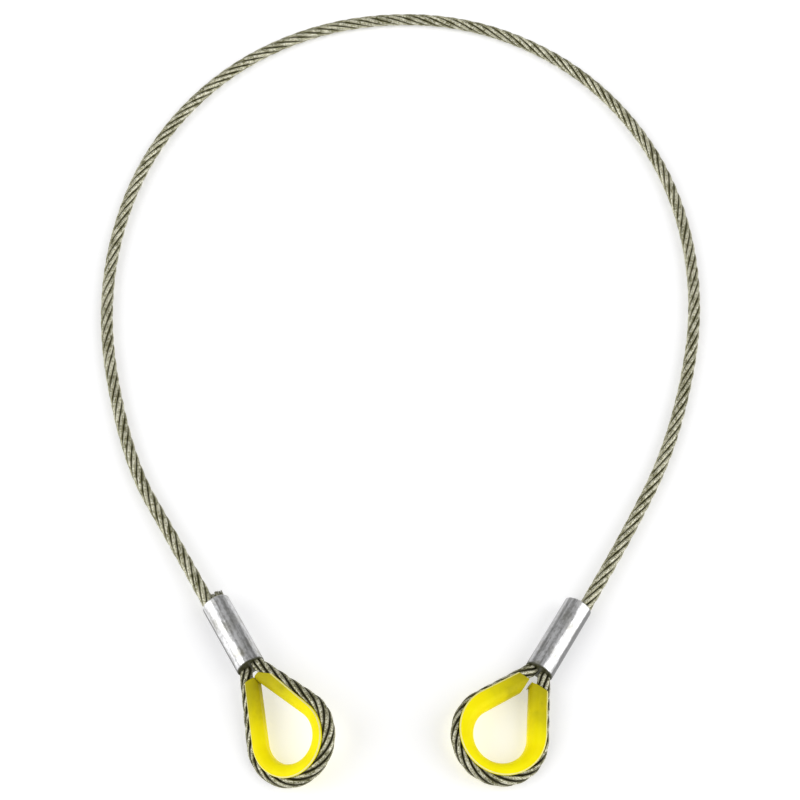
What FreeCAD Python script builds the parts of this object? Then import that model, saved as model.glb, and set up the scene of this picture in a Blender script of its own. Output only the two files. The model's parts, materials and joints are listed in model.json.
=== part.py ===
"""Wire rope sling: one leg of six-strand wire rope with a thimble eye at each end.

The sling lies on a floor at z = 0 as a horseshoe, both eyes towards -Y. Millimetres.
The leg is a chain of rope lengths with a bending hinge between each two of them.
"""
import FreeCAD, Part
import math
import os

Vector = FreeCAD.Vector

# Rope
ROPE_RADIUS = 4.0
CORE_RADIUS = 1.4
CORE_CLEARANCE = 0.05
BEND_GAP = 1.6              # from a hinge to the rope's solid on each side

# Ferrule, pressed round over the two parts of the rope
FERRULE_RADIUS = 8.5
FERRULE_TOP_EDGE = 1.0
FERRULE_MOUTH_EDGE = 0.6
PRESSED_RADIUS = 3.5        # of the rope squeezed inside it
PRESSED_OFFSET = 3.7        # from the ferrule's axis to each part of the rope
FIT_CLEARANCE = 0.1
MOUTH_BEND_RADIUS = 8.0
BORE_OVERRUN = 2.0          # of the cut for the rope, past the ferrule's top

# Thimble section: q is measured outwards from the bearing line, w across it
HALF_WIDTH = 5.8
LAND_HALF_WIDTH = 1.5
SHOULDER_Q = 4.8
SHOULDER_MID = (1.55, 4.2)
SECTION_DEPTH = 12.0        # before the flanges are trimmed
GROOVE_RADIUS = 4.1
GROOVE_MOUTH_HALF_WIDTH = 4.5
FLANGE_CHAMFER = 0.7
ARM_OVERRUN = 30.0
TIP_BEVEL_ANGLE = 42.0
CUT_SIZE = 80.0

# Dead end of the rope, cut off just above the left ferrule
DEAD_END_RADIUS = 3.4
DEAD_END_LENGTH = 3.6
DEAD_END_GAP = 0.05

# The leg's route between the two ferrules, chosen by hand. It starts and ends with a
# straight run out of each ferrule.
EXIT_RUN = 50.0
LEG_POINTS = [
    (-168, 140, 4),
    (-194, 255, 4),
    (-177, 366, 4),
    (-123, 448, 4),
    (-44, 493, 4),
    (48, 495, 4),
    (129, 449, 4),
    (182, 366, 4),
    (197, 261, 4),
    (173, 155, 4),
]
CORNER_SHARE = 0.45

# Hinges along the leg, as distances from the left exit (right ones from the right exit)
NECK_DISTANCE = 40.0
SIDE_DISTANCE = 270.0
BOW_DISTANCE = 480.0

UP = Vector(0, 0, 1)


class Eye:
    """A thimble eye in its own plane: u towards the ferrule, v across, w out of the plane."""

    def __init__(self, name, centre, heading, climb, roll, hole_radius, hole_apex,
                 crown_radius, rope_half_angle, flange_radius, flange_half_angles,
                 flange_centre, tip_end, tip_gap, gap_middle, mouth, top, live_side,
                 tip_bevel=None):
        self.name = name
        self.hole_radius = hole_radius
        self.bearing_half_angle = math.asin(hole_radius / hole_apex)
        self.rope_half_angle = math.radians(rope_half_angle)
        self.crown_radius = crown_radius
        self.flange_radius = flange_radius
        # one for the arm on the +v side and one for the arm on the -v side
        self.flange_half_angles = [math.radians(angle) for angle in flange_half_angles]
        self.flange_centre = flange_centre
        self.tip_end = tip_end
        self.tip_bevel = tip_bevel      # v at which the -v arm's end turns back
        self.tip_gap = tip_gap
        self.gap_middle = gap_middle
        self.mouth = mouth
        self.top = top
        self.live_side = live_side
        rotation = FreeCAD.Rotation(heading, -climb, roll)
        self.placement = FreeCAD.Placement(Vector(*centre), rotation)
        self.exit = self.point(top, live_side * PRESSED_OFFSET)
        self.exit_run_end = self.point(top + EXIT_RUN, live_side * PRESSED_OFFSET)

    def point(self, u, v, w=0.0):
        return self.placement.multVec(Vector(u, v, w))

    def placed(self, shape):
        return shape.transformed(self.placement.toMatrix(), True)


LEFT = Eye("left", centre=(-60.4, -44.8, 16.0), heading=119.1, climb=-3.1, roll=-29.3,
           hole_radius=15.1, hole_apex=38.9, crown_radius=24.3, rope_half_angle=24.8,
           flange_radius=22.3, flange_half_angles=(23.5, 18.5), flange_centre=(-0.6, 0.3),
           tip_end=41.4, tip_gap=0.4, gap_middle=0.0, mouth=49.4, top=96.4, live_side=1,
           tip_bevel=-4.5)
RIGHT = Eye("right", centre=(57.5, -42.4, 11.15), heading=59.1, climb=-1.6, roll=12.6,
            hole_radius=15.8, hole_apex=33.7, crown_radius=24.65, rope_half_angle=28.3,
            flange_radius=25.4, flange_half_angles=(29.5, 28.5), flange_centre=(2.2, 0.4),
            tip_end=36.5, tip_gap=2.2, gap_middle=1.7, mouth=45.5, top=94.4, live_side=-1)


def line(start, end):
    return Part.LineSegment(start, end).toShape()


def arc(start, middle, end):
    return Part.Arc(start, middle, end).toShape()


def rod(edges, radius):
    """A round solid along tangent edges."""
    ordered = Part.__sortEdges__(edges)
    first = ordered[0]
    forward = first.Orientation == "Forward"
    parameter = first.FirstParameter if forward else first.LastParameter
    start = first.valueAt(parameter)
    profile = Part.Wire(Part.Circle(start, first.tangentAt(parameter), radius).toShape())
    return Part.Wire(ordered).makePipeShell([profile], True, False)


def fuse(shapes):
    whole = shapes[0].multiFuse(shapes[1:]) if len(shapes) > 1 else shapes[0]
    return whole.removeSplitter()


def save(shape, node):
    solids = shape.Solids
    print(f"{node}: {len(solids)} solid, valid {shape.isValid()}, {shape.Volume:.0f} mm3")
    result = solids[0] if len(solids) == 1 else shape
    result.exportStep(f"parts/{node}.step")
    return result


# ------------------------------------------------------------------ the leg's route

def rounded_route(points):
    """Straight runs joined by tangent arcs, each as large as its two runs allow."""
    edges = []
    start = points[0]
    for before, corner, after in zip(points, points[1:], points[2:]):
        incoming = corner - before
        outgoing = after - corner
        half_turn = incoming.getAngle(outgoing) / 2
        reach = CORNER_SHARE * min(incoming.Length, outgoing.Length)
        radius = reach / math.tan(half_turn)
        incoming.normalize()
        outgoing.normalize()
        arc_start = corner - incoming * reach
        arc_end = corner + outgoing * reach
        inward = outgoing - incoming
        inward.normalize()
        middle = corner + inward * (radius / math.cos(half_turn) - radius)
        print(f"leg corner at ({corner.x:.0f}, {corner.y:.0f}): arc radius {radius:.0f} mm")
        edges.append(line(start, arc_start))
        edges.append(arc(arc_start, middle, arc_end))
        start = arc_end
    edges.append(line(start, points[-1]))
    return edges


def edge_place(edge, distance):
    parameter = edge.getParameterByLength(distance)
    return edge.valueAt(parameter), edge.tangentAt(parameter)


def route_place(edges, distance):
    """The point and the direction at a distance along the route."""
    for edge in edges:
        if distance <= edge.Length:
            return edge_place(edge, distance)
        distance -= edge.Length
    return edge_place(edges[-1], edges[-1].Length)


def route_part(edges, start, end):
    """The edges between two distances along the route."""
    part = []
    done = 0.0
    for edge in edges:
        low = max(start - done, 0.0)
        high = min(end - done, edge.Length)
        if high - low > 1e-6:
            first = edge.getParameterByLength(low)
            last = edge.getParameterByLength(high)
            part.append(edge.Curve.toShape(first, last))
        done += edge.Length
    return part


# ------------------------------------------------------------------ pieces of an eye

def rope_loop(eye):
    """Edges of the live part in the ferrule, the loop, and the dead part in the ferrule.

    They lie in the eye's own plane.
    """
    half = eye.rope_half_angle
    crown = eye.crown_radius
    bend = MOUTH_BEND_RADIUS
    offset = PRESSED_OFFSET
    corner_u = crown / math.sin(half) - offset / math.tan(half)
    bend_u = corner_u + bend * math.tan(half / 2)

    def bend_point(angle, side):
        u = bend_u - bend * math.sin(angle)
        v = offset + bend - bend * math.cos(angle)
        return Vector(u, side * v, 0)

    def half_loop(side):
        top = Vector(eye.top, side * offset, 0)
        pressed = [line(top, bend_point(0, side)),
                   arc(bend_point(0, side), bend_point(half / 2, side), bend_point(half, side))]
        tangent = Vector(crown * math.sin(half), side * crown * math.cos(half), 0)
        arm = line(bend_point(half, side), tangent)
        return pressed, arm, tangent

    live, live_arm, live_tangent = half_loop(eye.live_side)
    dead, dead_arm, dead_tangent = half_loop(-eye.live_side)
    turn = arc(live_tangent, Vector(-crown, 0, 0), dead_tangent)
    return live, [live_arm, turn, dead_arm], dead


def eye_strands(eye, neck):
    """The six strands as one tube: the leg's neck, the live part, the loop, the dead part."""
    live, loop, dead = rope_loop(eye)
    outside = fuse([eye.placed(rod(live, PRESSED_RADIUS)), eye.placed(rod(loop, ROPE_RADIUS)),
                    eye.placed(rod(dead, PRESSED_RADIUS)), rod(neck, ROPE_RADIUS)])
    return outside.cut(eye_core(eye, neck, CORE_RADIUS + CORE_CLEARANCE))


def eye_core(eye, neck, radius):
    live, loop, dead = rope_loop(eye)
    return rod([eye.placed(edge) for edge in live + loop + dead] + neck, radius)


def ferrule(eye):
    body = Part.makeCylinder(FERRULE_RADIUS, eye.top - eye.mouth, Vector(eye.mouth, 0, 0),
                             Vector(1, 0, 0))
    for u, radius in ((eye.mouth, FERRULE_MOUTH_EDGE), (eye.top, FERRULE_TOP_EDGE)):
        rims = [edge for edge in body.Edges if edge.Curve.TypeId == "Part::GeomCircle"
                and abs(edge.Curve.Center.x - u) < 1e-6]
        body = body.makeFillet(radius, rims)
    live, loop, dead = rope_loop(eye)
    for edges in (live, dead):
        start = edges[0].valueAt(edges[0].FirstParameter)
        past_top = line(start, Vector(eye.top + BORE_OVERRUN, start.y, 0))
        body = body.cut(rod(edges + [past_top], PRESSED_RADIUS + FIT_CLEARANCE))
    return eye.placed(body)


def teardrop_sweep(section, radius, half_angles):
    """Sweep a section round the crown and along both arms.

    section makes a face from a function that turns (q, w) into a point. half_angles are
    those of the arm on the +v side and of the arm on the -v side.
    """
    def place_at(side, half_angle):
        outward = Vector(math.sin(half_angle), side * math.cos(half_angle), 0)
        return lambda q, w: outward * (radius + q) + UP * w

    turn = 180 + math.degrees(sum(half_angles))
    solids = [section(place_at(1, half_angles[0])).revolve(Vector(0, 0, 0), UP, turn)]
    for side, half_angle in zip((1, -1), half_angles):
        along = Vector(math.cos(half_angle), -side * math.sin(half_angle), 0)
        arm_length = radius / math.tan(half_angle) + ARM_OVERRUN
        solids.append(section(place_at(side, half_angle)).extrude(along * arm_length))
    return fuse(solids)


def thimble_section(at):
    """The section from the land on the bearing side outwards, before groove and trim."""
    mid_q, mid_w = SHOULDER_MID
    return Part.Face(Part.Wire([
        line(at(0, -LAND_HALF_WIDTH), at(0, LAND_HALF_WIDTH)),
        arc(at(0, LAND_HALF_WIDTH), at(mid_q, mid_w), at(SHOULDER_Q, HALF_WIDTH)),
        line(at(SHOULDER_Q, HALF_WIDTH), at(SECTION_DEPTH, HALF_WIDTH)),
        line(at(SECTION_DEPTH, HALF_WIDTH), at(SECTION_DEPTH, -HALF_WIDTH)),
        line(at(SECTION_DEPTH, -HALF_WIDTH), at(SHOULDER_Q, -HALF_WIDTH)),
        arc(at(SHOULDER_Q, -HALF_WIDTH), at(mid_q, -mid_w), at(0, -LAND_HALF_WIDTH)),
    ]))


def groove_section(at):
    """The rope's groove: round at the bottom, flared to the flanges."""
    corner = GROOVE_RADIUS * math.sqrt(0.5)
    mouth = GROOVE_MOUTH_HALF_WIDTH
    flare_q = mouth - 2 * corner        # the flare leaves the circle along its tangent
    outside_q = 6.0
    return Part.Face(Part.Wire([
        arc(at(-corner, -corner), at(-GROOVE_RADIUS, 0), at(-corner, corner)),
        line(at(-corner, corner), at(flare_q, mouth)),
        line(at(flare_q, mouth), at(outside_q, mouth)),
        line(at(outside_q, mouth), at(outside_q, -mouth)),
        line(at(outside_q, -mouth), at(flare_q, -mouth)),
        line(at(flare_q, -mouth), at(-corner, -corner)),
    ]))


def trim_section(at):
    """What lies outside the flanges, with a chamfer along their edges. q = 0 is the edge."""
    low = HALF_WIDTH - FLANGE_CHAMFER
    past = 0.3
    high = HALF_WIDTH + past
    inside_q = -FLANGE_CHAMFER - past
    outside_q = 14.0
    corners = [at(0, low), at(inside_q, high), at(outside_q, high),
               at(outside_q, -high), at(inside_q, -high), at(0, -low)]
    return Part.Face(Part.Wire([line(a, b) for a, b in zip(corners, corners[1:] + corners[:1])]))


def thimble(eye):
    body = teardrop_sweep(thimble_section, eye.hole_radius, [eye.bearing_half_angle] * 2)
    groove = teardrop_sweep(groove_section, eye.crown_radius, [eye.rope_half_angle] * 2)
    beyond_tips = Part.makeBox(CUT_SIZE, CUT_SIZE, CUT_SIZE,
                               Vector(eye.tip_end, -CUT_SIZE / 2, -CUT_SIZE / 2))
    slot = Part.makeBox(CUT_SIZE, eye.tip_gap, CUT_SIZE,
                        Vector(eye.hole_radius, eye.gap_middle - eye.tip_gap / 2,
                               -CUT_SIZE / 2))
    trim = teardrop_sweep(trim_section, eye.flange_radius, eye.flange_half_angles)
    trim.translate(Vector(*eye.flange_centre, 0))
    tools = [groove, trim, beyond_tips, slot]
    if eye.tip_bevel is not None:
        bevel = Part.makeBox(CUT_SIZE, CUT_SIZE, CUT_SIZE,
                             Vector(0, -CUT_SIZE, -CUT_SIZE / 2))
        bevel.rotate(Vector(0, 0, 0), UP, -TIP_BEVEL_ANGLE)
        bevel.translate(Vector(eye.tip_end, eye.tip_bevel, 0))
        tools.append(bevel)
    for tool in tools:
        body = body.cut(tool)
    return eye.placed(body)


def dead_end(eye):
    """The rope's cut end standing out of the ferrule's top."""
    start = Vector(eye.top + DEAD_END_GAP, -eye.live_side * PRESSED_OFFSET, 0)
    return eye.placed(Part.makeCylinder(DEAD_END_RADIUS, DEAD_END_LENGTH, start,
                                        Vector(1, 0, 0)))


# ------------------------------------------------------------------ build

middle_points = [Vector(*point) for point in LEG_POINTS]
route = rounded_route([LEFT.exit, LEFT.exit_run_end] + middle_points
                      + [RIGHT.exit_run_end, RIGHT.exit])
leg_length = sum(edge.Length for edge in route)
hinge_distances = [NECK_DISTANCE, SIDE_DISTANCE, BOW_DISTANCE,
                   leg_length - BOW_DISTANCE, leg_length - SIDE_DISTANCE,
                   leg_length - NECK_DISTANCE]
print(f"leg length {leg_length:.1f} mm")
for eye in (LEFT, RIGHT):
    print(f"{eye.name} exit {eye.exit}, end of its straight run {eye.exit_run_end}")
for distance in hinge_distances:
    hinge_point, hinge_direction = route_place(route, distance)
    print(f"hinge at {distance:.1f} mm: point {hinge_point}, direction {hinge_direction}")

os.makedirs("parts", exist_ok=True)

necks = {
    LEFT.name: route_part(route, 0.0, NECK_DISTANCE - BEND_GAP),
    RIGHT.name: route_part(route, leg_length - NECK_DISTANCE + BEND_GAP, leg_length),
}
for eye in (LEFT, RIGHT):
    neck = necks[eye.name]
    save(eye_strands(eye, neck), f"{eye.name}_eye_strands")
    save(eye_core(eye, neck, CORE_RADIUS), f"{eye.name}_eye_core")
    save(ferrule(eye), f"{eye.name}_ferrule")
    save(thimble(eye), f"{eye.name}_thimble")
save(dead_end(LEFT), "left_dead_end")

section_area = math.pi * (ROPE_RADIUS ** 2 - (CORE_RADIUS + CORE_CLEARANCE) ** 2)
for number, (start, end) in enumerate(zip(hinge_distances, hinge_distances[1:]), 1):
    edges = route_part(route, start + BEND_GAP, end - BEND_GAP)
    strands = rod(edges, ROPE_RADIUS).cut(rod(edges, CORE_RADIUS + CORE_CLEARANCE))
    save(strands, f"leg_{number}_strands")
    save(rod(edges, CORE_RADIUS), f"leg_{number}_core")
    expected = section_area * (end - start - 2 * BEND_GAP)
    print(f"leg {number}: volume over section times length {strands.Volume / expected:.4f}")
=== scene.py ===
"""Wire rope sling: the looks round its CAD frame. Metres, +Z up, eyes towards -Y."""
import json
import math

import bpy
import numpy as np
from mathutils import Matrix, Vector

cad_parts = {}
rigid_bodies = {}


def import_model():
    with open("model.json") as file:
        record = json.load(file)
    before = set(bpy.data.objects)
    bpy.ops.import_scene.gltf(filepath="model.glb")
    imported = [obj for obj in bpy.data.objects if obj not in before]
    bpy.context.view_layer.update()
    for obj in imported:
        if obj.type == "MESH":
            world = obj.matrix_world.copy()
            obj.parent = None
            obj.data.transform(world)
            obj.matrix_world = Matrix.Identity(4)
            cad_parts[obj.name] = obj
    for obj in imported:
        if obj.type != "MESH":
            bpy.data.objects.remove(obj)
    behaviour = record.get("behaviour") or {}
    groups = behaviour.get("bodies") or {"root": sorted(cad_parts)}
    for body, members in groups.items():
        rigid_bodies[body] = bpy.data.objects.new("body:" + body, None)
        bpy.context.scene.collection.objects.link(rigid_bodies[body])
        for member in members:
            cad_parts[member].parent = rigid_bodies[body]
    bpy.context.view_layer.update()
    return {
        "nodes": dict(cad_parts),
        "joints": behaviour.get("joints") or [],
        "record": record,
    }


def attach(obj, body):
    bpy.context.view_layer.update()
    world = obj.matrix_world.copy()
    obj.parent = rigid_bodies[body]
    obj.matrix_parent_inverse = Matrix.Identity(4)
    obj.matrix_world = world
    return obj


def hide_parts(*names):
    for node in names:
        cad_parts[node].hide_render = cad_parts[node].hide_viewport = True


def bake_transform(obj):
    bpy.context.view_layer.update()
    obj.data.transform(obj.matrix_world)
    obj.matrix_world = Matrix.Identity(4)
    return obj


SEED = 7

# Rope
ROPE_RADIUS = 0.004
STRANDS = 6
STRAND_RADIUS = ROPE_RADIUS / 3
STRAND_CENTRE = ROPE_RADIUS - STRAND_RADIUS
ROPE_LAY = 0.060            # one turn of a strand round the rope, right-handed
WIRES = 12                  # outer wires that show in a strand
WIRE_LAY = -0.030           # one turn of a wire round its strand, left-handed
WIRE_RELIEF = 0.20          # depth between wires, as a share of the strand's radius
WIRE_GREASE_AND_SHADE = 0.35          # grease and painted shade between wires, beside that between strands
POINTS_PER_WIRE = 3
RING_STEP = 0.0015
CORE_RADIUS = 0.0013
CORE_SIDES = 16
GROOVE_DEPTH = 0.0014
EYE_GREASE_AND_SHADE = 1.12           # how far up from the grooves the grease and painted shade show round the eyes
LEG_GREASE_AND_SHADE = 0.72           # the same along the leg

# The leg's route: the two exits, each with its straight run, and the points between
ROUTE = [
    (-0.10999, 0.03765, 0.00898),
    (-0.13427, 0.08128, 0.00627),
    (-0.168, 0.140, 0.004),
    (-0.194, 0.255, 0.004),
    (-0.177, 0.366, 0.004),
    (-0.123, 0.448, 0.004),
    (-0.044, 0.493, 0.004),
    (0.048, 0.495, 0.004),
    (0.129, 0.449, 0.004),
    (0.182, 0.366, 0.004),
    (0.197, 0.261, 0.004),
    (0.173, 0.155, 0.004),
    (0.13471, 0.07958, 0.00631),
    (0.10905, 0.03670, 0.00771),
]
CHAIN = ["left_eye", "leg_1", "leg_2", "leg_3", "leg_4", "leg_5", "right_eye"]

# Eyes: their own plane has u towards the ferrule, v across and w out of the plane.
# Angles are in degrees. crown is the loop's radius on the rope's axis, mouth and top are
# the ferrule's two ends along u, and live_side is the sign of v where the leg comes out.
# dead_end is how far the cut end stands out of the ferrule before WIRE_REACH is applied.
# The last fact is how strongly painted shade darkens the ferrule's two sides, the live rope's
# side first.
EYES = {
    "left": {"turn": (119.1, 3.1, -29.3), "crown": 0.0243, "rope_half_angle": 24.8,
             "mouth": 0.0494, "top": 0.0964, "live_side": 1, "dead_end": 0.0034,
             "painted_side_shade": (1.0, 0.30)},
    "right": {"turn": (59.1, 1.6, 12.6), "crown": 0.02465, "rope_half_angle": 28.3,
              "mouth": 0.0455, "top": 0.0944, "live_side": -1, "dead_end": -0.0004,
              "painted_side_shade": (1.0, 0.45)},
}
THIMBLE_FLANGE = 0.0051     # half width from which a flange edge begins
SIDE_SHADE_START = 0.0055         # across a ferrule, where the painted shade on its sides begins
SIDE_SHADE_FADE = (0.0006, 0.0014)    # added to it, where the painted shade starts and is full
PRESSED_OFFSET = 0.0037     # from a ferrule's axis to each of the two ropes in it
PRESSED_SCALE = 0.86        # the rope's size in a ferrule, as a share of its free size
PRESSED_RUN = 0.002         # half the length over which it is squeezed
MOUTH_BEND_RADIUS = 0.008
MOUTH_BEND_POINTS = 8
TURN_POINTS = 90            # along the loop's round part
LOOP_INSIDE = 0.012         # how far the loop's rope runs into the ferrule
WIRE_RADIUS = 0.00034       # of the cut wires at the dead end
WIRE_GAP = 0.00072          # between the axes of wires beside each other in a strand
WIRE_ROOT = 0.006           # how far the cut wires reach down into the ferrule
WIRE_SCATTER = 0.06         # random lean of a cut wire, as a slope
WIRE_SPLAY = 45.0           # outward lean, as a slope for each metre from the axis
WIRE_REACH = 1.5            # a middle wire's length over the ferrule, as a share of dead_end
WIRE_DOME = 60.0            # share of its reach a wire loses for each metre from the axis
WIRE_UNEVEN = (-0.16, 0.02)     # random change of a wire's reach, lowest and highest
WIRE_SHINE = (0.1, 1.0)     # random brightness of a wire's tip, lowest and highest
WIRE_TILT = 0.16            # the whole cut end's lean towards the live rope, as a slope
WIRE_SIDES = 10

# Camera, floor and light
CAMERA_TARGET = Vector((0.0011, 0.1831, 0.0))
CAMERA_ELEVATION = math.radians(60)
CAMERA_DISTANCE = 1.162
CAMERA_FOCAL = 82.9
FLOOR_SIZE = 14.0
FLOOR_GLOW = 0.34           # a lit table, so the shadows stay faint
WORLD_STRENGTH = 0.36
SUN_STRENGTH = 1.7
SUN_WIDTH = 64              # degrees across, which keeps each reflection wide and soft
SUN_TOWARDS = {"left_softbox": (-1.0, -0.25, 0.70), "right_softbox": (1.0, -0.25, 0.70)}

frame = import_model()
record_mounts = {mount["name"]: mount for mount in frame["record"]["mounts"]}
joints = {frozenset((joint["parent"], joint["child"])): joint for joint in frame["joints"]}
collection = bpy.context.scene.collection
random = np.random.default_rng(SEED)


# ------------------------------------------------------------------ camera

def make_camera():
    data = bpy.data.cameras.new("camera")
    data.lens = CAMERA_FOCAL
    data.clip_end = 50.0
    camera = bpy.data.objects.new("camera", data)
    back = Vector((0, -math.cos(CAMERA_ELEVATION), math.sin(CAMERA_ELEVATION)))
    camera.location = CAMERA_TARGET + back * CAMERA_DISTANCE
    camera.rotation_euler = back.to_track_quat("Z", "Y").to_euler()
    collection.objects.link(camera)
    bpy.context.scene.camera = camera
    bpy.context.scene.view_settings.view_transform = "Standard"


# ------------------------------------------------------------------ lines and meshes

def smooth_line(name, points):
    """The points of a smooth NURBS line with these control points."""
    data = bpy.data.curves.new(name, "CURVE")
    data.dimensions = "3D"
    data.resolution_u = 64
    spline = data.splines.new("NURBS")
    spline.points.add(len(points) - 1)
    for control, point in zip(spline.points, points):
        control.co = (*point, 1.0)
    spline.order_u = 3
    spline.use_endpoint_u = True
    holder = bpy.data.objects.new(name, data)
    collection.objects.link(holder)
    bpy.context.view_layer.update()
    mesh = bpy.data.meshes.new_from_object(holder)
    line = np.array([vertex.co for vertex in mesh.vertices])
    bpy.data.objects.remove(holder)
    return line


def distances(line):
    """The distance along a line at each of its points."""
    steps = np.linalg.norm(np.diff(line, axis=0), axis=1)
    return np.concatenate([[0.0], np.cumsum(steps)])


def even_line(line):
    """The same line with its points a ring step apart."""
    along = distances(line)
    count = int(round(along[-1] / RING_STEP)) + 1
    places = np.linspace(0.0, along[-1], count)
    return np.stack([np.interp(places, along, line[:, k]) for k in range(3)], axis=1)


def unit(vectors):
    return vectors / np.linalg.norm(vectors, axis=-1, keepdims=True)


def line_axes(line, up):
    """Unit lift and side at each point; up is roughly square to the line."""
    tangent = unit(np.gradient(line, axis=0))
    side = unit(np.cross(tangent, up))
    lift = np.cross(side, tangent)
    return lift, side


def ring_faces(rings, around, first=0):
    """Four-cornered faces of a tube of rings, whose first point has number first."""
    ring, place = np.meshgrid(np.arange(rings - 1), np.arange(around), indexing="ij")
    following = (place + 1) % around
    corners = [ring * around + place, ring * around + following,
               (ring + 1) * around + following, (ring + 1) * around + place]
    return np.stack(corners, axis=-1).reshape(-1, 4) + first


def mesh_object(name, vertices, quads, caps=(), values=None):
    """A smooth-shaded mesh object; caps are rings closed by one face each."""
    mesh = bpy.data.meshes.new(name)
    faces = [tuple(int(i) for i in quad) for quad in quads]
    faces += [tuple(int(i) for i in cap) for cap in caps]
    mesh.from_pydata(vertices.tolist(), [], faces)
    mesh.polygons.foreach_set("use_smooth", [True] * len(mesh.polygons))
    for attribute, data in (values or {}).items():
        layer = mesh.attributes.new(attribute, "FLOAT", "POINT")
        layer.data.foreach_set("value", np.asarray(data, np.float32))
    mesh.update()
    made = bpy.data.objects.new(name, mesh)
    collection.objects.link(made)
    return made


def rope_mesh(name, line, up, along, grease_and_shade, scale=None):
    """Lobed strands laid round a line. along is the distance that sets the lay."""
    rings = len(line)
    scale = np.ones(rings) if scale is None else scale
    lift, side = line_axes(line, up)
    around = WIRES * POINTS_PER_WIRE
    angle = np.arange(around) * 2 * math.pi / around
    vertices, faces, caps, grooves = [], [], [], []
    for number in range(STRANDS):
        turn = 2 * math.pi * (along / ROPE_LAY + number / STRANDS)
        outward = np.cos(turn)[:, None] * lift + np.sin(turn)[:, None] * side
        centre = line + outward * (STRAND_CENTRE * scale)[:, None]
        direction = unit(np.gradient(centre, axis=0))
        across = unit(np.cross(direction, outward))
        twist = 2 * math.pi * along / WIRE_LAY
        wire = np.abs(np.cos((angle[None, :] - twist[:, None]) * WIRES / 2))
        radius = STRAND_RADIUS * scale[:, None] * (1 - WIRE_RELIEF * (1 - wire))
        ring = (centre[:, None, :]
                + (radius * np.cos(angle))[..., None] * outward[:, None, :]
                + (radius * np.sin(angle))[..., None] * across[:, None, :])
        from_axis = np.linalg.norm(ring - line[:, None, :], axis=2)
        depth = (ROPE_RADIUS * scale[:, None] - from_axis) / GROOVE_DEPTH
        first = number * rings * around
        faces.append(ring_faces(rings, around, first))
        caps.append(np.arange(around)[::-1] + first)
        caps.append(np.arange(around) + first + (rings - 1) * around)
        vertices.append(ring.reshape(-1, 3))
        # Grease and painted shade: darker deeper in the grooves between strands and between
        # wires.
        greased = grease_and_shade * (depth + WIRE_GREASE_AND_SHADE * (1 - wire))
        grooves.append(np.clip(greased, 0, 1).reshape(-1))
    return mesh_object(name, np.concatenate(vertices), np.concatenate(faces), caps,
                       {"groove": np.concatenate(grooves)})


def core_mesh(name, line, up, radius):
    """A round rod along a line."""
    lift, side = line_axes(line, up)
    angle = np.arange(CORE_SIDES) * 2 * math.pi / CORE_SIDES
    ring = (line[:, None, :] + radius * (np.cos(angle)[None, :, None] * lift[:, None, :]
                                         + np.sin(angle)[None, :, None] * side[:, None, :]))
    near_cap = np.arange(CORE_SIDES)[::-1]
    far_cap = np.arange(CORE_SIDES) + (len(line) - 1) * CORE_SIDES
    return mesh_object(name, ring.reshape(-1, 3), ring_faces(len(line), CORE_SIDES),
                       [near_cap, far_cap])


# ------------------------------------------------------------------ eyes

class Eye:
    """One eye of the sling: its place, its axes and its measures."""

    def __init__(self, name, facts):
        self.name = name
        self.body = f"{name}_eye"
        self.facts = facts
        self.centre = Vector(record_mounts[self.body]["pos_m"])
        heading, tilt, roll = (math.radians(value) for value in facts["turn"])
        self.turn = (Matrix.Rotation(heading, 3, "Z") @ Matrix.Rotation(tilt, 3, "Y")
                     @ Matrix.Rotation(roll, 3, "X"))
        self.along = self.turn @ Vector((1, 0, 0))
        self.across = self.turn @ Vector((0, 1, 0))
        self.normal = self.turn @ Vector((0, 0, 1))

    def points(self, flat):
        """Points of the row frame from (u, v) pairs in the eye's plane."""
        flat = np.asarray(flat, float)
        return (np.array(self.centre) + flat[:, :1] * np.array(self.along)
                + flat[:, 1:2] * np.array(self.across))

    def loop(self):
        """The rope's (u, v) line from inside the ferrule, round the crown and back."""
        half = math.radians(self.facts["rope_half_angle"])
        crown = self.facts["crown"]
        corner = crown / math.sin(half) - PRESSED_OFFSET / math.tan(half)
        bend_u = corner + MOUTH_BEND_RADIUS * math.tan(half / 2)
        inner_end = self.facts["mouth"] + LOOP_INSIDE
        bend = [(bend_u - MOUTH_BEND_RADIUS * math.sin(a),
                 PRESSED_OFFSET + MOUTH_BEND_RADIUS * (1 - math.cos(a)))
                for a in np.linspace(0, half, MOUTH_BEND_POINTS)]
        tangent_angle = math.pi / 2 - half
        turn = [(crown * math.cos(a), crown * math.sin(a))
                for a in np.linspace(tangent_angle, 2 * math.pi - tangent_angle, TURN_POINTS)]
        start = [(inner_end, PRESSED_OFFSET)] + bend
        end = [(u, -v) for u, v in reversed(start)]
        return np.array(start + turn + end)


def ease(values, low, high):
    """0 at low, 1 at high, smooth between them."""
    share = np.clip((values - low) / (high - low), 0, 1)
    return share * share * (3 - 2 * share)


def make_eye_rope(eye):
    """The rope's turn round the thimble, squeezed where it enters the ferrule."""
    line = even_line(eye.points(eye.loop()))
    u = (line - np.array(eye.centre)) @ np.array(eye.along)
    mouth = eye.facts["mouth"]
    squeeze = ease(u, mouth - PRESSED_RUN, mouth + PRESSED_RUN)
    scale = 1 - (1 - PRESSED_SCALE) * squeeze
    up = np.array(eye.normal)
    rope = rope_mesh(f"{eye.name}_eye_rope", line, up, distances(line), EYE_GREASE_AND_SHADE, scale)
    core = core_mesh(f"{eye.name}_eye_rope_core", line, up, CORE_RADIUS * PRESSED_SCALE)
    for piece, node, slot in ((rope, "strands", "rope_strands"), (core, "core", "rope_core")):
        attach(piece, eye.body)
        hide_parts(f"{eye.body}_{node}")
    rope.data.materials.append(materials["rope"])
    core.data.materials.append(materials["core"])


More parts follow.
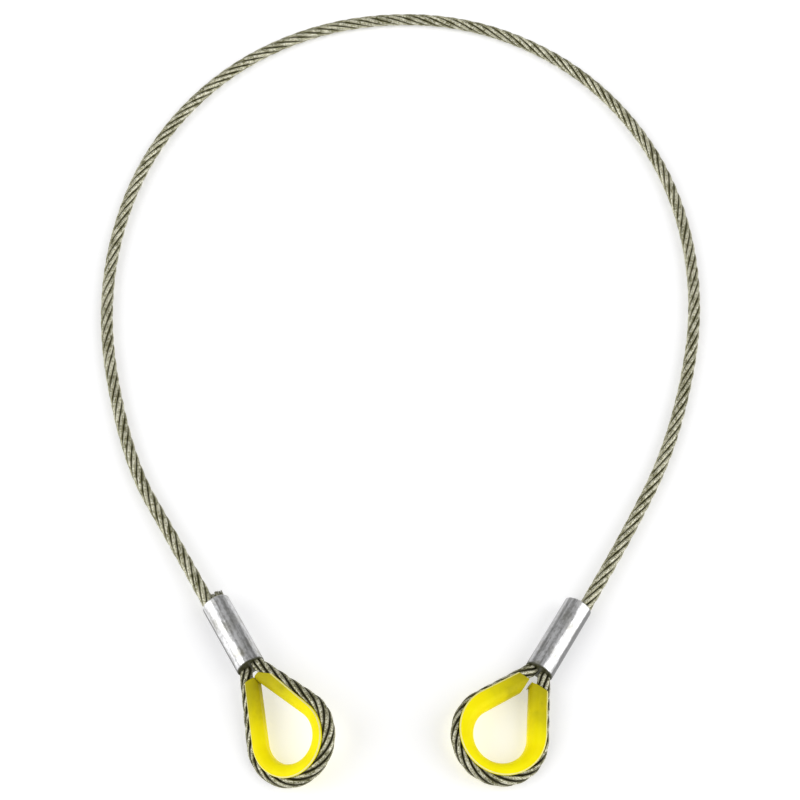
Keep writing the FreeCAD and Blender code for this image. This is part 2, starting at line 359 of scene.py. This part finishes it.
def wire_starts():
    """Where wires cross a section of the squeezed rope, from its axis, core wires last."""
    ring = [i * 2 * math.pi / STRANDS for i in range(STRANDS)]
    wires = [(0.0, 0.0)] + [(WIRE_GAP * math.cos(a), WIRE_GAP * math.sin(a)) for a in ring]
    strand = STRAND_CENTRE * PRESSED_SCALE
    places = [(strand * math.cos(a) + x, strand * math.sin(a) + y)
              for a in ring for x, y in wires]
    return places + wires


def make_dead_end(eye):
    """The cut end's wires, splayed where they stand out and held clear of the live rope."""
    stand = eye.facts["dead_end"]
    v = -eye.facts["live_side"] * PRESSED_OFFSET
    top = eye.facts["top"]
    root = eye.points([(top - WIRE_ROOT, v)])[0]
    along, across, normal = (np.array(axis) for axis in (eye.along, eye.across, eye.normal))
    angle = np.arange(WIRE_SIDES) * 2 * math.pi / WIRE_SIDES
    live_axis = np.array((2 * PRESSED_OFFSET * eye.facts["live_side"], 0.0))
    steps = np.array([0.0, WIRE_ROOT, WIRE_ROOT + stand / 2, WIRE_ROOT + stand])
    if stand < 0:
        steps = np.array([0.0, WIRE_ROOT + stand])
    vertices, faces, caps, brightness = [], [], [], []
    for x, y in wire_starts():
        lean = random.normal(0, WIRE_SCATTER, 2) + WIRE_SPLAY * np.array((x, y))
        lean[0] += WIRE_TILT * eye.facts["live_side"]
        reach = WIRE_REACH + random.uniform(*WIRE_UNEVEN) - WIRE_DOME * math.hypot(x, y)
        shine = random.uniform(*WIRE_SHINE)
        out = np.clip(steps - WIRE_ROOT, 0, None)
        first = len(vertices) * WIRE_SIDES
        for step, beyond in zip(steps, out):
            from_live = np.array((x, y)) + lean * beyond - live_axis
            gap = max(np.linalg.norm(from_live), ROPE_RADIUS + WIRE_RADIUS)
            place = live_axis + unit(from_live) * gap
            centre = (root + along * (min(step, WIRE_ROOT) + beyond * reach)
                      + across * place[0] + normal * place[1])
            ring = (centre + WIRE_RADIUS * (np.cos(angle)[:, None] * across
                                            + np.sin(angle)[:, None] * normal))
            vertices.append(ring)
            share_out = beyond / stand if stand > 0 else 0.0
            brightness.append(np.full(WIRE_SIDES, shine * share_out))
        faces.append(ring_faces(len(steps), WIRE_SIDES, first))
        caps.append(np.arange(WIRE_SIDES)[::-1] + first)
        caps.append(np.arange(WIRE_SIDES) + first + (len(steps) - 1) * WIRE_SIDES)
    piece = mesh_object(f"{eye.name}_dead_end_wires", np.concatenate(vertices),
                        np.concatenate(faces), caps, {"out": np.concatenate(brightness)})
    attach(piece, eye.body)
    if stand > 0:
        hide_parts(f"{eye.name}_dead_end")
    piece.data.materials.append(materials["cut ends"])


# ------------------------------------------------------------------ the leg

def make_leg():
    """Rope lengths from mid-body to mid-body, each across one hinge and baked in place."""
    line = even_line(smooth_line("leg_line", ROUTE))
    along = distances(line)
    up = np.array((0.0, 0.0, 1.0))
    hinges = [joints[frozenset(pair)] for pair in zip(CHAIN, CHAIN[1:])]
    hinge_rings = [int(np.argmin(np.linalg.norm(line - np.array(hinge["pos_m"]), axis=1)))
                   for hinge in hinges]
    middles = [(a + b) // 2 for a, b in zip(hinge_rings, hinge_rings[1:])]
    ends = [0] + middles + [len(line) - 1]
    for number, (first, last) in enumerate(zip(ends, ends[1:])):
        before, after = CHAIN[number], CHAIN[number + 1]
        part = line[first:last + 1]
        rope = rope_mesh(f"leg_rope_{number + 1}", part, up, along[first:last + 1],
                         LEG_GREASE_AND_SHADE)
        core = core_mesh(f"leg_rope_core_{number + 1}", part, up, CORE_RADIUS)
        rope.data.materials.append(materials["rope"])
        core.data.materials.append(materials["core"])
        legs = [body for body in (before, after) if body.startswith("leg")]
        for piece, node, slot in ((rope, "strands", "rope_strands"),
                                  (core, "core", "rope_core")):
            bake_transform(piece)
            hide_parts(*[f"{leg}_{node}" for leg in legs])


# ------------------------------------------------------------------ materials

class Nodes:
    """Short calls for building a material's nodes."""

    def __init__(self, name):
        self.material = bpy.data.materials.new(name)
        self.material.use_nodes = True
        self.tree = self.material.node_tree
        self.shader = self.tree.nodes["Principled BSDF"]

    def put(self, socket, value):
        """Link a value that is a socket, or set one that isn't."""
        if isinstance(value, bpy.types.NodeSocket):
            self.tree.links.new(value, socket)
        else:
            socket.default_value = value

    def node(self, kind, inputs=None, **settings):
        made = self.tree.nodes.new(kind)
        for name, value in settings.items():
            setattr(made, name, value)
        for name, value in (inputs or {}).items():
            self.put(made.inputs[name], value)
        return made

    def math(self, operation, *values, clamp=False):
        made = self.node("ShaderNodeMath", operation=operation, use_clamp=clamp)
        for socket, value in zip(made.inputs, values):
            self.put(socket, value)
        return made.outputs[0]

    def position(self):
        """The shading point in the piece's own coordinates."""
        return self.node("ShaderNodeTexCoord").outputs["Object"]

    def stretch(self, vector, scale):
        made = self.node("ShaderNodeVectorMath", operation="MULTIPLY")
        self.put(made.inputs[0], vector)
        self.put(made.inputs[1], scale)
        return made.outputs[0]

    def dot(self, vector, direction):
        made = self.node("ShaderNodeVectorMath", operation="DOT_PRODUCT")
        self.put(made.inputs[0], vector)
        self.put(made.inputs[1], direction)
        return made.outputs["Value"]

    def noise(self, vector, scale, detail=3.0, roughness=0.5):
        made = self.node("ShaderNodeTexNoise", {"Vector": vector, "Scale": scale,
                                                "Detail": detail, "Roughness": roughness})
        return made.outputs["Fac"]

    def ramp(self, value, low, high):
        """0 below low, 1 above high, smooth between them."""
        made = self.node("ShaderNodeMapRange", {"Value": value, "From Min": low,
                                                "From Max": high},
                         interpolation_type="SMOOTHSTEP")
        return made.outputs["Result"]

    def mix(self, share, first, second):
        made = self.node("ShaderNodeMix", data_type="RGBA")
        self.put(made.inputs[0], share)
        self.put(made.inputs[6], first)
        self.put(made.inputs[7], second)
        return made.outputs[2]

    def bump(self, height, strength, distance):
        made = self.node("ShaderNodeBump", {"Height": height, "Strength": strength,
                                            "Distance": distance})
        self.put(self.shader.inputs["Normal"], made.outputs["Normal"])

    def set(self, **values):
        """Shader inputs by name, such as base_color for Base Color."""
        for name, value in values.items():
            socket = name.replace("_", " ").title().replace("Ior", "IOR")
            self.put(self.shader.inputs[socket], value)


def rgb(red, green, blue):
    return (red, green, blue, 1.0)


# Each pair is the darker and the lighter colour that a pattern moves between.
CLEAN_WIRE = (rgb(0.24, 0.23, 0.10), rgb(0.74, 0.72, 0.54))
GREASY_WIRE = (rgb(0.11, 0.104, 0.030), rgb(0.40, 0.385, 0.21))
CORE_WIRE = (rgb(0.05, 0.05, 0.03), rgb(0.12, 0.12, 0.08))
CUT_WIRE_SIDES = (rgb(0.10, 0.095, 0.05), rgb(0.34, 0.33, 0.24))
CUT_WIRE_TIPS = (rgb(0.34, 0.33, 0.27), rgb(0.80, 0.79, 0.72))
ALUMINIUM = (rgb(0.46, 0.46, 0.455), rgb(0.90, 0.90, 0.91))
# Painted shade for the ferrule's sides, standing in for their darker reflections.
SIDE_SHADE_ALUMINIUM = (rgb(0.13, 0.13, 0.125), rgb(0.33, 0.33, 0.33))
YELLOW_PAINT = (rgb(0.94, 0.80, 0.001), rgb(1.0, 0.90, 0.002))
# Worn paint with a painted highlight, for the flange edges.
WORN_AND_LIT_PAINT = (rgb(0.80, 0.72, 0.12), rgb(0.92, 0.88, 0.50))
PALE_FLOOR = (rgb(0.78, 0.78, 0.79), rgb(0.80, 0.80, 0.81))

# A painted glint for the wires' crests.
PAINTED_CREST_GLINT = rgb(0.92, 0.91, 0.80)
# Grease with painted shade in the grooves between strands.
GROOVE_GREASE_AND_SHADE = rgb(0.028, 0.025, 0.004)
FERRULE_DIRT = rgb(0.30, 0.285, 0.19)
MOUTH_GREASE = rgb(0.035, 0.035, 0.012)
DEEP_PAINT = rgb(0.45, 0.39, 0.006)
THIMBLE_GRIME = rgb(0.26, 0.23, 0.012)
PAINT_SHEEN = rgb(1.0, 0.93, 0.25)
WHITE = rgb(1, 1, 1)


def rope_material():
    """Galvanised wires, olive with grease, with a painted glint on the strand crests; the
    grooves between strands are dark with grease and painted shade.
    """
    made = Nodes("greased_wire_rope")
    place = made.position()
    groove = made.node("ShaderNodeAttribute", attribute_name="groove").outputs["Fac"]
    speckle = made.noise(place, 1500.0, 2.0)
    patches = made.noise(place, 190.0)
    clean = made.mix(made.ramp(speckle, 0.36, 0.60), *CLEAN_WIRE)
    greasy = made.mix(made.ramp(speckle, 0.40, 0.66), *GREASY_WIRE)
    worn_and_highlight = made.mix(made.ramp(patches, 0.42, 0.60), clean, greasy)
    # A painted glint on the strand crests, in speckles, fading towards the grooves.
    crest_glint = made.math("MULTIPLY", made.math("SUBTRACT", 1.0, made.ramp(groove, 0.05, 0.32)),
                      made.ramp(speckle, 0.46, 0.60))
    worn_and_highlight = made.mix(crest_glint, worn_and_highlight, PAINTED_CREST_GLINT)
    # The grooves darken with grease and painted shade.
    colour = made.mix(made.ramp(groove, 0.22, 0.66), worn_and_highlight, GROOVE_GREASE_AND_SHADE)
    made.set(base_color=colour, metallic=0.30,
             roughness=made.math("ADD", 0.30, made.math("MULTIPLY", groove, 0.4)))
    made.bump(speckle, 0.5, 0.0002)
    return made.material


def core_material():
    made = Nodes("greased_core")
    shade = made.noise(made.position(), 400.0)
    colour = made.mix(shade, *CORE_WIRE)
    made.set(base_color=colour, metallic=0.5, roughness=0.6)
    return made.material


def cut_end_material():
    """Wires darkened by grease, bright where the cutter left them."""
    made = Nodes("cut_wires")
    out = made.node("ShaderNodeAttribute", attribute_name="out").outputs["Fac"]
    grain = made.noise(made.position(), 1800.0, 2.0)
    sides = made.mix(grain, *CUT_WIRE_SIDES)
    tips = made.mix(grain, *CUT_WIRE_TIPS)
    colour = made.mix(made.ramp(out, 0.3, 0.95), sides, tips)
    made.set(base_color=colour, metallic=0.4, roughness=0.38)
    return made.material


def eye_place(made, eye):
    """u, v and w of a shading point in an eye's own plane."""
    shifted = made.node("ShaderNodeVectorMath", operation="SUBTRACT")
    made.put(shifted.inputs[0], made.position())
    made.put(shifted.inputs[1], eye.centre)
    return [made.dot(shifted.outputs[0], axis)
            for axis in (eye.along, eye.across, eye.normal)]


def ferrule_material(eye):
    """Pressed aluminium: mottled and streaked, darkened at its sides by painted shade, greasy
    at the mouth.
    """
    made = Nodes(f"{eye.name}_pressed_aluminium")
    u, v, w = eye_place(made, eye)
    local = made.node("ShaderNodeCombineXYZ", {"X": u, "Y": v, "Z": w}).outputs[0]
    waves = made.noise(made.stretch(local, (16.0, 150.0, 150.0)), 1.0, 2.0, 0.5)
    streaks = made.noise(made.stretch(local, (34.0, 620.0, 620.0)), 1.0, 4.0, 0.62)
    grain = made.noise(local, 1300.0, 2.0)
    smudges = made.noise(local, 110.0, 3.0)
    mottle = made.noise(made.stretch(local, (420.0, 760.0, 760.0)), 1.0, 3.0, 0.6)
    shade = made.math("ADD", made.math("MULTIPLY", streaks, 0.55),
                      made.math("MULTIPLY", mottle, 0.45))
    metal = made.mix(made.ramp(shade, 0.38, 0.60), *ALUMINIUM)
    near_mouth = made.math("SUBTRACT", 1.0, made.ramp(u, eye.facts["mouth"] + 0.002,
                                                      eye.facts["mouth"] + 0.012))
    dirt = made.math("MULTIPLY", made.ramp(smudges, 0.44, 0.66),
                     made.math("ADD", 0.25, made.math("MULTIPLY", near_mouth, 0.6)))
    metal = made.mix(dirt, metal, FERRULE_DIRT)
    # Painted shade darkens the ferrule's two sides, standing in for their darker reflections.
    outer = made.math("MULTIPLY", v, eye.facts["live_side"])
    uneven = made.math("MULTIPLY", smudges, 0.0014)
    painted_side_shade = made.mix(grain, *SIDE_SHADE_ALUMINIUM)
    for side, share in zip((outer, made.math("MULTIPLY", outer, -1.0)), eye.facts["painted_side_shade"]):
        side_shade_mask = made.ramp(made.math("ADD", side, uneven), SIDE_SHADE_START + SIDE_SHADE_FADE[0],
                           SIDE_SHADE_START + SIDE_SHADE_FADE[1])
        metal = made.mix(made.math("MULTIPLY", side_shade_mask, share), metal, painted_side_shade)
    wobble = made.math("MULTIPLY", made.math("SUBTRACT", grain, 0.5), 0.0010)
    inward = made.math("ADD", made.math("SUBTRACT", u, eye.facts["mouth"]), wobble)
    clean = made.ramp(inward, 0.0004, 0.0014)
    made.set(base_color=made.mix(clean, MOUTH_GREASE, metal), metallic=clean,
             roughness=made.math("ADD", 0.20, made.math("MULTIPLY", streaks, 0.26)))
    relief = made.math("ADD", waves, made.math("MULTIPLY", mottle, 0.14))
    made.bump(relief, 1.0, 0.0009)
    return made.material


def thimble_material(eye):
    """Yellow paint, deeper towards the tips, with worn paint and a painted highlight on the
    flange edges.
    """
    made = Nodes(f"{eye.name}_yellow_paint")
    u, v, w = eye_place(made, eye)
    place = made.position()
    patches = made.noise(place, 70.0, 3.0)
    fine = made.noise(place, 650.0, 2.0)
    paint = made.mix(made.ramp(patches, 0.3, 0.7), *YELLOW_PAINT)
    deeper = made.ramp(made.math("ADD", u, made.math("MULTIPLY", patches, 0.016)),
                       0.012, 0.046)
    paint = made.mix(deeper, paint, DEEP_PAINT)
    grime = made.math("MULTIPLY", deeper, made.ramp(made.noise(place, 120.0, 4.0), 0.36, 0.78))
    paint = made.mix(made.math("MULTIPLY", grime, 0.55), paint, THIMBLE_GRIME)
    # The flange edges' pale rim: worn paint and a painted highlight where the rounded edge
    # catches the light.
    facing = made.math("ABSOLUTE", made.dot(
        made.node("ShaderNodeNewGeometry").outputs["Normal"], eye.normal))
    lit_worn_edge = made.math("MULTIPLY", made.ramp(made.math("ABSOLUTE", w), THIMBLE_FLANGE,
                                           THIMBLE_FLANGE + 0.0002),
                     made.math("LESS_THAN", facing, 0.8))
    worn_and_highlight = made.mix(fine, *WORN_AND_LIT_PAINT)
    made.set(base_color=made.mix(lit_worn_edge, paint, worn_and_highlight), roughness=0.45,
             specular_ior_level=0.25, specular_tint=PAINT_SHEEN)
    made.bump(fine, 0.15, 0.0002)
    return made.material


def floor_material():
    made = Nodes("pale_floor")
    shade = made.noise(made.position(), 3.0, 2.0)
    made.set(base_color=made.mix(shade, *PALE_FLOOR), roughness=0.9,
             emission_color=WHITE, emission_strength=FLOOR_GLOW)
    return made.material


# ------------------------------------------------------------------ floor and light

def make_floor():
    half = FLOOR_SIZE / 2
    corners = np.array([(-half, -half, 0.0), (half, -half, 0.0), (half, half, 0.0),
                        (-half, half, 0.0)])
    floor = mesh_object("floor", corners, [(0, 1, 2, 3)])
    floor.data.materials.append(floor_material())


def sun(name, towards):
    """A wide soft light; towards points from the sling to the light."""
    data = bpy.data.lights.new(name, "SUN")
    data.energy = SUN_STRENGTH
    data.angle = math.radians(SUN_WIDTH)
    light = bpy.data.objects.new(name, data)
    light.rotation_euler = Vector(towards).to_track_quat("Z", "Y").to_euler()
    collection.objects.link(light)


def make_light():
    world = bpy.data.worlds.new("studio")
    world.use_nodes = True
    background = world.node_tree.nodes["Background"]
    background.inputs["Color"].default_value = WHITE
    background.inputs["Strength"].default_value = WORLD_STRENGTH
    bpy.context.scene.world = world
    for name, towards in SUN_TOWARDS.items():
        sun(name, towards)


# ------------------------------------------------------------------ build

make_camera()
eyes = [Eye(name, facts) for name, facts in EYES.items()]
materials = {"rope": rope_material(), "core": core_material(), "cut ends": cut_end_material()}
make_leg()
for eye in eyes:
    make_eye_rope(eye)
    make_dead_end(eye)
    for node, material in ((f"{eye.name}_ferrule", ferrule_material(eye)),
                           (f"{eye.name}_thimble", thimble_material(eye))):
        frame["nodes"][node].data.materials.clear()
        frame["nodes"][node].data.materials.append(material)
make_floor()
make_light()
